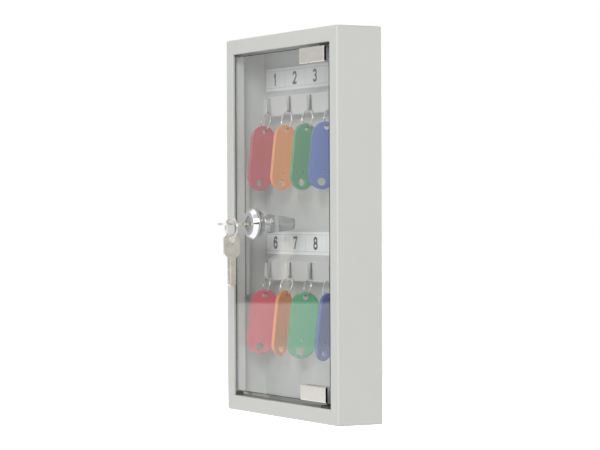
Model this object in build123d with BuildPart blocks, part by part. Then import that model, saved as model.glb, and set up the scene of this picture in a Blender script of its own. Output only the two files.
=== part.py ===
from build123d import *
from math import cos, radians, sin
import os

os.makedirs("parts", exist_ok=True)

# Wall cabinet for ten keys, with a glass door, a cam lock and numbered hook rails.
# Frame, in millimetres: X across, Z up, Y from the door (-) to the wall (0).
# The origin is the middle of the back, on the wall plane.

# ---------------------------------------------------------------- driving dimensions
# casing and back
cabinet_width = 190.0
cabinet_height = 300.0
cabinet_depth = 38.0
wall = 1.0                      # sheet steel
flange_width = 12.0             # front frame around the door
lip_depth = 13.0                # return lip inside the front frame
inner_bend = 1.0                # inside radius of the folded corners
frame_edge_radius = 0.9         # rounded edge of the door opening
front_edge_radius = 1.4         # rounded outer edge of the front frame
relief_bottom = 3.2             # corner relief cut from the side lips
relief_top = 2.2
relief_start = 1.8              # relief cut, measured back from the frame front
relief_end = 9.0
wall_hole_diameter = 6.0
wall_hole_inset = 19.0          # wall holes from the top and the bottom of the cabinet

# glass door
glass_thickness = 4.0
glass_recess = 1.0              # glass front behind the frame front
gap_left = 2.0
gap_right = 2.2
gap_top = 2.0
gap_bottom = 4.0
glass_corner_radius = 1.5
glass_arris = 0.35

# hinges
pivot_inset = 12.5              # pivot axis from the right edge of the opening
pivot_setback = 7.3             # pivot axis behind the frame front
hinge_length = 41.0
hinge_height = 12.0
hinge_front_thickness = 2.0
hinge_rear_thickness = 4.0
hinge_end_inset = 7.0           # hinge plate beyond the pivot axis
hinge_edge_inset = 0.4          # front plate back from the end of the glass
hinge_edge_radius = 0.9
pad_thickness = 0.5
hinge_boss_diameter = 6.0
hinge_boss_clearance = 0.2
hinge_screw_diameter = 3.8
hinge_screw_head_diameter = 7.0
hinge_screw_head_height = 2.2
hinge_screw_socket = 3.0
hinge_screw_spacing = 16.0
hinge_screw_offset = 9.0        # nearest screw from the pivot axis
screw_clearance = 0.05
knuckle_radius = 3.6
pin_diameter = 3.0
pin_clearance = 0.05            # radial running fit in the bush
pin_grip = 9.0                  # pin length held in the hinge
bush_length = 16.0
bush_depth = 8.5
bush_corner_radius = 3.0
bush_top_thickness = 1.6
bush_bottom_thickness = 1.9
bush_front_gap = 0.6            # bush behind the inner face of the frame
bush_collar_diameter = 7.0
bush_collar_gap = 0.3           # collar below the glass
bush_shank_diameter = 4.8
bush_shank_length = 3.6         # beyond the lip

# cam lock
lock_from_left = 48.0           # lock axis from the left side of the cabinet
bezel_diameter = 24.0
bezel_face_diameter = 19.6
bezel_height = 4.4
bezel_rim = 1.0
bezel_edge_radius = 0.6
washer_diameter = 25.4
washer_thickness = 0.8
rear_washer_diameter = 22.0
rear_washer_thickness = 0.6
barrel_diameter = 16.0
barrel_flats = 12.5
barrel_length = 14.8            # behind the front of the glass
barrel_clearance = 0.15
glass_hole_diameter = 17.0
nut_across_flats = 19.0
nut_thickness = 3.0
nut_turn = -18.0
plug_head_diameter = 12.0
plug_head_length = 3.0
plug_recess = 1.2
plug_diameter = 9.8
plug_clearance = 0.05           # radial running fit in the barrel
plug_tail_size = 7.0
plug_end_gap = 0.2
cam_thickness = 2.0
cam_length = 39.0               # lock axis to the tip
cam_hub_width = 15.0
cam_tip_width = 9.0
cam_crank = 2.5                 # step that carries the tip behind the strike
cam_crank_start = 11.0
cam_crank_run = 3.5
cam_fit = 0.05
cam_washer_diameter = 10.5
cam_washer_thickness = 0.8
cam_screw_diameter = 4.0
cam_screw_depth = 3.2
cam_screw_flats = 8.0
cam_screw_head = 2.2
strike_length = 100.0
strike_below_lock = 8.0
strike_depth = 8.2
strike_stand = 4.8              # strike beyond the edge of the lip
strike_corner_radius = 2.0

# keys and their ring
key_thickness = 1.7
bow_width = 13.6
bow_length = 18.3
bow_corner = 2.6
bow_hole_diameter = 4.8
bow_hole_inset = 4.0
blade_width = 7.2
blade_length = 22.9
blade_tip = 2.2
key_insertion = 16.6
keyway_clearance = 0.15
bit_depth = 1.1
bit_length = 1.9
bit_pitch = 2.8
bit_count = 4
bit_from_tip = 4.4
groove_width = 1.1
groove_depth = 0.45
groove_offset = 1.7
key_ring_diameter = 17.0
key_ring_wire = 1.3
key_ring_turn = 10.0
key_ring_drop = 3.0             # ring centre below the middle of the lock
spare_key_play = 0.5            # hole of the spare key above the wire it hangs on

# hook rails
rail_sheet = 0.8
rail_end_gap = 4.5              # end of a rail from the side of the cabinet
rail_label_height = 19.9
rail_shoulder_height = 4.0
rail_hook_height = 16.0
rail_step = 6.2                 # hook plate in front of the label face
rail_bend = 1.2
rail_top_from_top = 22.2        # top of the upper rail below the top of the cabinet
rail_pitch = 132.5
hook_plate_width = 150.0
hook_count = 5
hook_end_inset = 3.6            # outer hooks in from the ends of the hook plate
hook_slot_base = 6.0
hook_slot_tip = 3.2
hook_slot_height = 13.2
hook_slot_rise = 1.6            # foot of the slot above the lower edge
hook_base_width = 4.2
hook_tip_width = 2.2
hook_height = 12.7              # tip above the foot
hook_reach = 4.2                # hook stands this far in front of the plate
hook_foot_rise = 1.2
hook_root_bend = 0.7
hook_bend = 2.2
strip_thickness = 0.4
strip_margin = 0.25
strip_end_inset = 1.25          # printed strip in from the ends of the rail

# key tags on split rings
tag_length = 52.5
tag_width = 22.0
tag_thickness = 3.0
tag_edge_radius = 0.8
tag_hole_diameter = 4.0
tag_hole_inset = 4.5
tag_eye_diameter = 6.3
tag_eye_inset = 5.8
tag_dot_diameter = 1.5
tag_dot_above_eye = 8.3
tag_window_length = 30.0
tag_window_width = 15.6
tag_window_depth = 1.1
tag_window_shift = 1.5          # window above the middle of the tag
tag_lean = 6.3
tag_ring_diameter = 15.6
tag_ring_wire = 1.0
tag_ring_thickness = 1.2
tag_ring_rise = 3.1             # ring top wire above the foot of the rail
tag_ring_setback = 1.6          # ring top wire in front of the hook plate
tag_ring_play = 0.35            # tag hole above the wire it hangs on
ring_edge = 0.28

# how each ring and tag hangs, first hook to fourth, in degrees
ring_turns = {"upper": (2.0, 7.0, 7.0, -4.0), "lower": (-8.0, 11.0, -7.0, 11.0)}
ring_leans = {"upper": (13.0, 7.0, 8.0, 11.0), "lower": (13.0, 16.0, 12.0, 10.0)}
tag_turns = {"upper": (92.0, 103.0, 98.0, 67.0), "lower": (64.0, 121.0, 63.0, 121.0)}

# ---------------------------------------------------------------- derived places
front = -cabinet_depth
opening_width = cabinet_width - 2 * flange_width
opening_height = cabinet_height - 2 * flange_width
inner_width = cabinet_width - 2 * wall
inner_height = cabinet_height - 2 * wall

glass_front = front + glass_recess
glass_back = glass_front + glass_thickness
glass_left = -opening_width / 2 + gap_left
glass_right = opening_width / 2 - gap_right
glass_top = opening_height / 2 - gap_top
glass_bottom = -opening_height / 2 + gap_bottom
glass_middle_x = (glass_left + glass_right) / 2
glass_middle_z = (glass_top + glass_bottom) / 2

pivot_x = opening_width / 2 - pivot_inset
pivot_y = front + pivot_setback
hinge_middle_x = pivot_x + hinge_end_inset - hinge_length / 2
hinge_screw_x = [pivot_x - hinge_screw_offset - i * hinge_screw_spacing for i in range(2)]

lock_x = -cabinet_width / 2 + lock_from_left
lock_z = glass_middle_z
washer_front = glass_front - washer_thickness
bezel_front = washer_front - bezel_height
barrel_end = glass_front + barrel_length
cam_front = barrel_end + plug_end_gap
cam_back = cam_front + cam_thickness

rail_tops = {"upper": cabinet_height / 2 - rail_top_from_top}
rail_tops["lower"] = rail_tops["upper"] - rail_pitch
rail_height = rail_label_height + rail_shoulder_height + rail_hook_height
rail_width = inner_width - 2 * rail_end_gap
label_face = -wall - rail_sheet
hook_face = label_face - rail_step
hook_pitch = (hook_plate_width - 2 * hook_end_inset) / (hook_count - 1)
hook_x = [(i - (hook_count - 1) / 2) * hook_pitch for i in range(hook_count)]


def facing_door(x, y, z):
    """Plane looking out through the door, with X to the right and Z up."""
    return Plane(origin=(x, y, z), x_dir=(1, 0, 0), z_dir=(0, -1, 0))


# ---------------------------------------------------------------- casing
# One folded sheet: four sides, the front frame and its return lips.
with BuildPart() as casing:
    with BuildSketch(Plane.XZ):
        RectangleRounded(cabinet_width, cabinet_height, inner_bend + wall)
    extrude(amount=cabinet_depth)
    fillet(casing.faces().sort_by(Axis.Y)[0].edges(), front_edge_radius)
    with BuildSketch(Plane.XZ):
        RectangleRounded(inner_width, inner_height, inner_bend)
    extrude(amount=cabinet_depth - wall, mode=Mode.SUBTRACT)
    with BuildSketch(facing_door(0, front, 0)):
        Rectangle(opening_width + 2 * wall, opening_height + 2 * wall)
    extrude(amount=-lip_depth)
    with BuildSketch(facing_door(0, front, 0)):
        Rectangle(opening_width, opening_height)
    extrude(amount=-lip_depth, mode=Mode.SUBTRACT)
    opening_edges = casing.faces().sort_by(Axis.Y)[0].inner_wires()[0].edges()
    fillet(opening_edges, frame_edge_radius)
    # relief cuts at the ends of the side lips
    relief_y = front + (relief_start + relief_end) / 2
    for side in (-1, 1):
        for end, relief in ((-1, relief_bottom), (1, relief_top)):
            relief_z = end * (opening_height - relief) / 2
            with Locations((side * (opening_width + wall) / 2, relief_y, relief_z)):
                Box(wall, relief_end - relief_start, relief, mode=Mode.SUBTRACT)
    # holes in the top and bottom lips for the pivot bushes
    for end in (-1, 1):
        with Locations((pivot_x, pivot_y, end * (opening_height + wall) / 2)):
            Cylinder(bush_shank_diameter / 2, 2 * wall, mode=Mode.SUBTRACT)
casing.part.label = "casing"
export_step(casing.part, "parts/casing.step")

# Flat sheet welded into the back of the casing, with two holes for the wall screws.
with BuildPart() as back_panel:
    with BuildSketch(Plane.XZ):
        RectangleRounded(inner_width, inner_height, inner_bend)
        with GridLocations(0, cabinet_height - 2 * wall_hole_inset, 1, 2):
            Circle(wall_hole_diameter / 2, mode=Mode.SUBTRACT)
    extrude(amount=wall)
back_panel.part.label = "back_panel"
export_step(back_panel.part, "parts/back_panel.step")

# Flat strip welded behind the left lip; the cam turns in behind its edge.
strike_x = -(opening_width / 2 + wall) - wall / 2
strike_y = front + lip_depth + strike_stand - strike_depth / 2
with BuildPart() as strike_plate:
    strike_z = lock_z - strike_below_lock
    with BuildSketch(Plane(origin=(strike_x, strike_y, strike_z), x_dir=(0, 1, 0), z_dir=(1, 0, 0))):
        RectangleRounded(strike_depth, strike_length, strike_corner_radius)
    extrude(amount=wall / 2, both=True)
strike_plate.part.label = "strike_plate"
export_step(strike_plate.part, "parts/strike_plate.step")

# ---------------------------------------------------------------- hook rails
# A tongue is lanced out of the hook plate and curled forward and up.
foot_y = hook_face + rail_sheet / 2
hook_y = hook_face - hook_reach + rail_sheet / 2
with BuildPart() as hook_tongue:
    with BuildSketch(Plane.YZ):
        with BuildLine() as hook_line:
            FilletPolyline(
                (foot_y, 0),
                (foot_y, hook_foot_rise),
                (hook_y, hook_foot_rise),
                (hook_y, hook_foot_rise + hook_height),
                radius=[hook_root_bend, hook_bend],
            )
        trace(hook_line.line, line_width=rail_sheet)
    extrude(amount=hook_base_width / 2, both=True)
    with BuildSketch(facing_door(0, hook_face, hook_foot_rise)):
        with BuildLine():
            Polyline(
                (-hook_base_width / 2, -2 * hook_foot_rise),
                (-hook_base_width / 2, hook_bend),
                (-hook_tip_width / 2, hook_height - hook_tip_width / 2),
            )
            RadiusArc(
                (-hook_tip_width / 2, hook_height - hook_tip_width / 2),
                (hook_tip_width / 2, hook_height - hook_tip_width / 2),
                hook_tip_width / 2,
            )
            Polyline(
                (hook_tip_width / 2, hook_height - hook_tip_width / 2),
                (hook_base_width / 2, hook_bend),
                (hook_base_width / 2, -2 * hook_foot_rise),
                (-hook_base_width / 2, -2 * hook_foot_rise),
            )
        make_face()
    extrude(amount=2 * hook_reach, both=True, mode=Mode.INTERSECT)

for row, rail_top in rail_tops.items():
    rail_bottom = rail_top - rail_height
    shoulder_top = rail_top - rail_label_height
    with BuildPart() as hook_rail:
        with BuildSketch(Plane.YZ):
            with BuildLine():
                FilletPolyline(
                    (label_face, rail_top),
                    (label_face, shoulder_top),
                    (hook_face, shoulder_top - rail_shoulder_height),
                    (hook_face, rail_bottom),
                    radius=rail_bend,
                )
                offset(amount=rail_sheet, side=Side.LEFT)
            make_face()
        extrude(amount=rail_width / 2, both=True)
        # hook plate narrower than the label face, with tapered slots behind the hooks
        with BuildSketch(facing_door(0, -wall, rail_bottom)):
            plate_rise = rail_height - rail_label_height
            for side in (-1, 1):
                with Locations((side * (rail_width + hook_plate_width) / 4, plate_rise / 2)):
                    Rectangle((rail_width - hook_plate_width) / 2, plate_rise)
            with BuildLine():
                slot_top = hook_slot_rise + hook_slot_height
                slot_line = Polyline(
                    (-hook_slot_base / 2, hook_slot_rise),
                    (-hook_slot_tip / 2, slot_top),
                    (hook_slot_tip / 2, slot_top),
                    (hook_slot_base / 2, hook_slot_rise),
                    close=True,
                )
            slot_face = make_face(mode=Mode.PRIVATE)
            with Locations(*[(x, 0) for x in hook_x]):
                add(slot_face)
        extrude(amount=2 * (rail_step + rail_sheet), mode=Mode.SUBTRACT)
        with Locations(*[(x, 0, rail_bottom) for x in hook_x]):
            add(hook_tongue.part)
    name = f"hook_rail_{row}"
    hook_rail.part.label = name
    export_step(hook_rail.part, f"parts/{name}.step")

    # printed number strip on the label face
    with BuildPart() as number_strip:
        with BuildSketch(facing_door(0, label_face, rail_top - rail_label_height / 2)):
            strip_width = rail_width - 2 * strip_end_inset
            Rectangle(strip_width, rail_label_height - 2 * strip_margin - rail_bend)
        extrude(amount=strip_thickness)
    name = f"number_strip_{row}"
    number_strip.part.label = name
    export_step(number_strip.part, f"parts/{name}.step")

# ---------------------------------------------------------------- glass door
with BuildPart() as glass_pane:
    with BuildSketch(facing_door(glass_middle_x, glass_front, glass_middle_z)):
        RectangleRounded(glass_right - glass_left, glass_top - glass_bottom, glass_corner_radius)
    extrude(amount=-glass_thickness)
    chamfer(glass_pane.faces().filter_by(Axis.Y).edges(), glass_arris)
    with BuildSketch(facing_door(0, glass_front, 0)):
        with Locations((lock_x, lock_z)):
            Circle(glass_hole_diameter / 2)
        for end_z in (glass_top, glass_bottom):
            inward = -1 if end_z > glass_middle_z else 1
            screw_z = end_z + inward * (hinge_edge_inset + hinge_height / 2)
            with Locations(*[(x, screw_z) for x in hinge_screw_x]):
                Circle(hinge_boss_diameter / 2 + hinge_boss_clearance)
    extrude(amount=-glass_thickness, mode=Mode.SUBTRACT)
glass_pane.part.label = "glass_pane"
export_step(glass_pane.part, "parts/glass_pane.step")

# ---------------------------------------------------------------- hinges
# Each hinge clamps a corner of the glass between a front and a rear plate. Its pin turns in
# a bush held in the lip of the casing.
rear_front = glass_back + pad_thickness
rear_back = rear_front + hinge_rear_thickness
for row, end_z, inward, bush_thickness in (
    ("upper", glass_top, -1, bush_top_thickness),
    ("lower", glass_bottom, 1, bush_bottom_thickness),
):
    plate_z = end_z + inward * (hinge_edge_inset + hinge_height / 2)
    rear_height = hinge_height + hinge_edge_inset
    rear_z = end_z + inward * rear_height / 2
    lip_z = -inward * opening_height / 2
    screw_places = [(x - hinge_middle_x, 0) for x in hinge_screw_x]

    with BuildPart() as hinge_front:
        plate_back = glass_front - pad_thickness
        with BuildSketch(facing_door(hinge_middle_x, plate_back, plate_z)):
            RectangleRounded(hinge_length, hinge_height, hinge_edge_radius)
        extrude(amount=hinge_front_thickness)
        fillet(hinge_front.faces().sort_by(Axis.Y)[0].edges(), hinge_edge_radius * 0.9)
        with BuildSketch(facing_door(hinge_middle_x, plate_back, plate_z)):
            with Locations(*screw_places):
                Circle(hinge_boss_diameter / 2)
        extrude(amount=-(pad_thickness + glass_thickness))
        with BuildSketch(facing_door(hinge_middle_x, glass_back, plate_z)):
            with Locations(*screw_places):
                Circle(hinge_screw_diameter / 2 + screw_clearance)
        extrude(amount=glass_thickness + pad_thickness + hinge_front_thickness / 3, mode=Mode.SUBTRACT)
    name = f"hinge_front_plate_{row}"
    hinge_front.part.label = name
    export_step(hinge_front.part, f"parts/{name}.step")

    with BuildPart() as hinge_rear:
        with BuildSketch(facing_door(hinge_middle_x, rear_front, rear_z)):
            RectangleRounded(hinge_length, rear_height, hinge_edge_radius)
        extrude(amount=-hinge_rear_thickness)
        fillet(hinge_rear.faces().sort_by(Axis.Y)[-1].edges(), hinge_edge_radius * 0.9)
        # knuckle around the pin, flat where it lies along the glass
        with BuildSketch(Plane.XY.offset(rear_z)):
            with Locations((pivot_x, pivot_y)):
                Circle(knuckle_radius)
            with Locations((pivot_x, rear_front - knuckle_radius)):
                Rectangle(4 * knuckle_radius, 2 * knuckle_radius, mode=Mode.SUBTRACT)
        extrude(amount=rear_height / 2, both=True)
        with Locations((pivot_x, pivot_y, end_z + inward * pin_grip / 2)):
            Cylinder(pin_diameter / 2, pin_grip, mode=Mode.SUBTRACT)
        with BuildSketch(facing_door(hinge_middle_x, rear_front, plate_z)):
            with Locations(*screw_places):
                Circle(hinge_screw_diameter / 2 + screw_clearance)
        extrude(amount=-hinge_rear_thickness, mode=Mode.SUBTRACT)
    name = f"hinge_rear_plate_{row}"
    hinge_rear.part.label = name
    export_step(hinge_rear.part, f"parts/{name}.step")

    with BuildPart() as hinge_pads:
        for pad_plane in (
            facing_door(hinge_middle_x, glass_front, plate_z),
            facing_door(hinge_middle_x, rear_front, plate_z),
        ):
            with BuildSketch(pad_plane):
                RectangleRounded(hinge_length - 1, hinge_height - 1, hinge_edge_radius)
                with Locations(*screw_places):
                    Circle(hinge_boss_diameter / 2, mode=Mode.SUBTRACT)
            extrude(amount=pad_thickness)
    name = f"hinge_pads_{row}"
    hinge_pads.part.label = name
    export_step(hinge_pads.part, f"parts/{name}.step")

    with BuildPart() as hinge_screws:
        with BuildSketch(facing_door(hinge_middle_x, rear_back, plate_z)):
            with Locations(*screw_places):
                Circle(hinge_screw_diameter / 2)
        extrude(amount=hinge_rear_thickness + pad_thickness + glass_thickness)
        with BuildSketch(facing_door(hinge_middle_x, rear_back, plate_z)):
            with Locations(*screw_places):
                Circle(hinge_screw_head_diameter / 2)
        extrude(amount=-hinge_screw_head_height)
        chamfer(hinge_screws.faces().sort_by(Axis.Y)[-2:].edges(), hinge_screw_head_height / 5)
        head_back = rear_back + hinge_screw_head_height
        with BuildSketch(facing_door(hinge_middle_x, head_back, plate_z)):
            with Locations(*screw_places):
                RegularPolygon(hinge_screw_socket / 2, 6, major_radius=False)
        extrude(amount=hinge_screw_head_height / 2, mode=Mode.SUBTRACT)
    name = f"hinge_screws_{row}"
    hinge_screws.part.label = name
    export_step(hinge_screws.part, f"parts/{name}.step")

    pin_out = abs(lip_z - end_z) + wall + bush_shank_length / 2
    with BuildPart() as pivot_pin:
        with Locations((pivot_x, pivot_y, end_z + inward * (pin_grip - pin_out) / 2)):
            Cylinder(pin_diameter / 2, pin_grip + pin_out)
        chamfer(pivot_pin.faces().filter_by(Axis.Z).edges(), pin_diameter / 8)
    name = f"pivot_pin_{row}"
    pivot_pin.part.label = name
    export_step(pivot_pin.part, f"parts/{name}.step")

    with BuildPart() as pivot_bush:
        bush_y = front + wall + bush_front_gap + bush_depth / 2
        with BuildSketch(Plane.XY.offset(lip_z)):
            with Locations((pivot_x, bush_y)):
                RectangleRounded(bush_length, bush_depth, bush_corner_radius)
        extrude(amount=inward * bush_thickness)
        collar = abs(lip_z - end_z) - bush_collar_gap
        if collar > bush_thickness + bush_collar_gap:
            with BuildSketch(Plane.XY.offset(lip_z)):
                with Locations((pivot_x, pivot_y)):
                    Circle(bush_collar_diameter / 2)
            extrude(amount=inward * collar)
        with BuildSketch(Plane.XY.offset(lip_z)):
            with Locations((pivot_x, pivot_y)):
                Circle(bush_shank_diameter / 2)
        extrude(amount=-inward * (wall + bush_shank_length))
        with Locations((pivot_x, pivot_y, lip_z)):
            Cylinder(
                pin_diameter / 2 + pin_clearance,
                4 * (wall + bush_shank_length),
                mode=Mode.SUBTRACT,
            )
    name = f"pivot_bush_{row}"
    pivot_bush.part.label = name
    export_step(pivot_bush.part, f"parts/{name}.step")

# ---------------------------------------------------------------- cam lock
# Conical bezel and double-flatted barrel in one casting, bored for the plug.
with BuildPart() as lock_housing:
    with BuildSketch(facing_door(lock_x, barrel_end, lock_z)):
        Circle(barrel_diameter / 2)
        Rectangle(barrel_diameter, barrel_flats, mode=Mode.INTERSECT)
    extrude(amount=barrel_end - washer_front)
    with BuildSketch(Plane(origin=(lock_x, 0, lock_z), x_dir=(1, 0, 0), z_dir=(0, 0, 1))):
        with BuildLine():
            Polyline(
                (0, washer_front),
                (bezel_diameter / 2, washer_front),
                (bezel_diameter / 2, washer_front - bezel_rim),
                (bezel_face_diameter / 2, bezel_front),
                (0, bezel_front),
                close=True,
            )
        make_face()
    revolve(axis=Axis((lock_x, 0, lock_z), (0, 1, 0)))
    fillet(lock_housing.faces().sort_by(Axis.Y)[0].edges(), bezel_edge_radius)
    with BuildSketch(facing_door(lock_x, bezel_front, lock_z)):
        Circle(plug_head_diameter / 2 + plug_clearance)
    extrude(amount=-(plug_recess + plug_head_length + plug_end_gap), mode=Mode.SUBTRACT)
    with BuildSketch(facing_door(lock_x, bezel_front, lock_z)):
        Circle(plug_diameter / 2 + plug_clearance)
    extrude(amount=bezel_front - barrel_end, mode=Mode.SUBTRACT)
lock_housing.part.label = "lock_housing"
export_step(lock_housing.part, "parts/lock_housing.step")

nut_front = glass_back + rear_washer_thickness
for name, washer_back, diameter, thickness in (
    ("lock_washer_front", glass_front, washer_diameter, washer_thickness),
    ("lock_washer_rear", nut_front, rear_washer_diameter, rear_washer_thickness),
):
    with BuildPart() as lock_washer:
        with BuildSketch(facing_door(lock_x, washer_back, lock_z)):
            Circle(diameter / 2)
            Circle(barrel_diameter / 2 + barrel_clearance, mode=Mode.SUBTRACT)
        extrude(amount=thickness)
        chamfer(lock_washer.edges().sort_by(SortBy.LENGTH)[-2:], thickness / 4)
    lock_washer.part.label = name
    export_step(lock_washer.part, f"parts/{name}.step")

with BuildPart() as lock_nut:
    with BuildSketch(facing_door(lock_x, nut_front, lock_z)):
        RegularPolygon(nut_across_flats / 2, 6, major_radius=False, rotation=nut_turn)
    extrude(amount=-nut_thickness)
    # corners turned down to a cone, as on a machined nut
    with BuildSketch(facing_door(lock_x, nut_front, lock_z)):
        Circle(nut_across_flats / 2 * 1.13)
    extrude(amount=-nut_thickness, taper=12, mode=Mode.INTERSECT)
    with BuildSketch(facing_door(lock_x, nut_front, lock_z)):
        Circle(barrel_diameter / 2 + barrel_clearance)
    extrude(amount=-nut_thickness, mode=Mode.SUBTRACT)
lock_nut.part.label = "lock_nut"
export_step(lock_nut.part, "parts/lock_nut.step")

# Plug with a stepped head, a keyway and a square tail that drives the cam.
plug_front = bezel_front + plug_recess
keyway_end = bezel_front + key_insertion + 2 * keyway_clearance
tail_end = cam_back - plug_end_gap
with BuildPart() as lock_plug:
    with BuildSketch(facing_door(lock_x, barrel_end, lock_z)):
        Circle(plug_diameter / 2)
    extrude(amount=barrel_end - plug_front)
    with BuildSketch(facing_door(lock_x, plug_front, lock_z)):
        Circle(plug_head_diameter / 2)
    extrude(amount=-plug_head_length)
    chamfer(lock_plug.faces().sort_by(Axis.Y)[0].edges(), 0.4)
    with BuildSketch(facing_door(lock_x, barrel_end, lock_z)):
        Rectangle(plug_tail_size, plug_tail_size)
    extrude(amount=-(tail_end - barrel_end))
    with BuildSketch(facing_door(lock_x, plug_front, lock_z)):
        Rectangle(blade_width + 2 * keyway_clearance, key_thickness + 2 * keyway_clearance)
    extrude(amount=-(keyway_end - plug_front), mode=Mode.SUBTRACT)
    with BuildSketch(facing_door(lock_x, tail_end, lock_z)):
        Circle(cam_screw_diameter / 2)
    extrude(amount=cam_screw_depth, mode=Mode.SUBTRACT)
lock_plug.part.label = "lock_plug"
export_step(lock_plug.part, "parts/lock_plug.step")

# Cranked cam, turned away from the strike: the open state of the lock.
with BuildPart() as lock_cam:
    with BuildSketch(Plane(origin=(lock_x, 0, lock_z), x_dir=(1, 0, 0), z_dir=(0, 0, 1))):
        with BuildLine():
            crank_end = cam_crank_start + cam_crank_run
            FilletPolyline(
                (-cam_hub_width / 2, cam_front),
                (cam_crank_start, cam_front),
                (crank_end, cam_front + cam_crank),
                (cam_length, cam_front + cam_crank),
                radius=cam_thickness,
            )
            offset(amount=cam_thickness, side=Side.LEFT)
        make_face()
    extrude(amount=cam_hub_width / 2, both=True)
    with BuildSketch(facing_door(lock_x, cam_front, lock_z)):
        Circle(cam_hub_width / 2)
        with Locations((cam_length - cam_tip_width / 2, 0)):
            Circle(cam_tip_width / 2)
        make_hull()
        Rectangle(plug_tail_size + 2 * cam_fit, plug_tail_size + 2 * cam_fit, mode=Mode.SUBTRACT)
    extrude(amount=cam_length, both=True, mode=Mode.INTERSECT)
lock_cam.part.label = "lock_cam"
export_step(lock_cam.part, "parts/lock_cam.step")

with BuildPart() as cam_washer:
    with BuildSketch(facing_door(lock_x, cam_back, lock_z)):
        Circle(cam_washer_diameter / 2)
        Circle(cam_screw_diameter / 2 + cam_fit, mode=Mode.SUBTRACT)
    extrude(amount=-cam_washer_thickness)
cam_washer.part.label = "cam_washer"
export_step(cam_washer.part, "parts/cam_washer.step")

screw_seat = cam_back + cam_washer_thickness
with BuildPart() as cam_screw:
    with BuildSketch(facing_door(lock_x, screw_seat, lock_z)):
        RegularPolygon(cam_screw_flats / 2, 6, major_radius=False)
    extrude(amount=-cam_screw_head)
    with BuildSketch(facing_door(lock_x, screw_seat, lock_z)):
        Circle(cam_screw_flats / 2 * 1.12)
    extrude(amount=-cam_screw_head, taper=10, mode=Mode.INTERSECT)
    with BuildSketch(facing_door(lock_x, screw_seat, lock_z)):
        Circle(cam_screw_diameter / 2)
    extrude(amount=screw_seat - tail_end + cam_screw_depth - plug_end_gap)
cam_screw.part.label = "cam_screw"
export_step(cam_screw.part, "parts/cam_screw.step")

# ---------------------------------------------------------------- keys
key_shoulder = bezel_front + key_insertion - blade_length
ring_across = Vector(cos(radians(key_ring_turn)), sin(radians(key_ring_turn)), 0)
ring_mean = (key_ring_diameter - key_ring_wire) / 2
ring_half_chord = (ring_mean**2 - key_ring_drop**2) ** 0.5
bow_end = key_shoulder - bow_length
ring_entry = Vector(lock_x, bow_end + bow_hole_inset + bow_hole_diameter / 2 - key_ring_wire, lock_z)
ring_centre = ring_entry + ring_across * ring_half_chord - Vector(0, 0, key_ring_drop)
spare_hole_z = ring_centre.Z - ring_mean - (bow_hole_diameter - key_ring_wire) / 2 + spare_key_play
spare_shoulder_z = spare_hole_z + bow_hole_inset - bow_length

# each key is drawn on a plane with its origin at the shoulder: bow down, blade up
key_planes = {
    "key_in_lock": Plane(origin=(lock_x, key_shoulder, lock_z), x_dir=(1, 0, 0), z_dir=(0, 0, 1)),
    "spare_key": Plane(
        origin=(ring_centre.X, ring_centre.Y, spare_shoulder_z), x_dir=(0, -1, 0), z_dir=(1, 0, 0)
    ),
}
for name, plane in key_planes.items():
    with BuildPart() as key:
        with BuildSketch(plane) as key_outline:
            with Locations((0, -bow_length / 2)):
                Rectangle(bow_width, bow_length)
            chamfer(key_outline.vertices(), bow_corner)
            with BuildLine():
                Polyline(
                    (-blade_width / 2, -bow_corner),
                    (-blade_width / 2, blade_length - blade_tip),
                    (-blade_width / 6, blade_length),
                    (blade_width / 6, blade_length),
                    (blade_width / 2, blade_length - blade_tip),
                    (blade_width / 2, -bow_corner),
                    close=True,
                )
            make_face()
            with Locations((0, bow_hole_inset - bow_length)):
                Circle(bow_hole_diameter / 2, mode=Mode.SUBTRACT)
            # bitting cut into both edges of the blade
            for i in range(bit_count):
                depth = bit_depth * (1 - 0.35 * (i % 3))
                cut_y = blade_length - bit_from_tip - i * bit_pitch
                for side in (-1, 1):
                    with Locations((side * blade_width / 2, cut_y)):
                        Trapezoid(bit_length, depth, 60, rotation=90 * side, mode=Mode.SUBTRACT)
        extrude(amount=key_thickness / 2, both=True)
        # milled grooves, one on each face
        for side in (-1, 1):
            with BuildSketch(plane.offset(side * key_thickness / 2)):
                with Locations((side * groove_offset, (blade_length + bow_corner) / 2)):
                    Rectangle(groove_width, blade_length + bow_corner)
            extrude(amount=-side * groove_depth, mode=Mode.SUBTRACT)
    key.part.label = name
    export_step(key.part, f"parts/{name}.step")

with BuildPart() as key_ring:
    ring_plane = Plane(origin=ring_centre, x_dir=ring_across, z_dir=(-ring_across.Y, ring_across.X, 0))
    with BuildSketch(ring_plane):
        Circle(key_ring_diameter / 2)
        Circle(key_ring_diameter / 2 - key_ring_wire, mode=Mode.SUBTRACT)
    extrude(amount=key_ring_wire / 2, both=True)
    chamfer(key_ring.edges(), ring_edge)
key_ring.part.label = "key_ring"
export_step(key_ring.part, "parts/key_ring.step")

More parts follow.
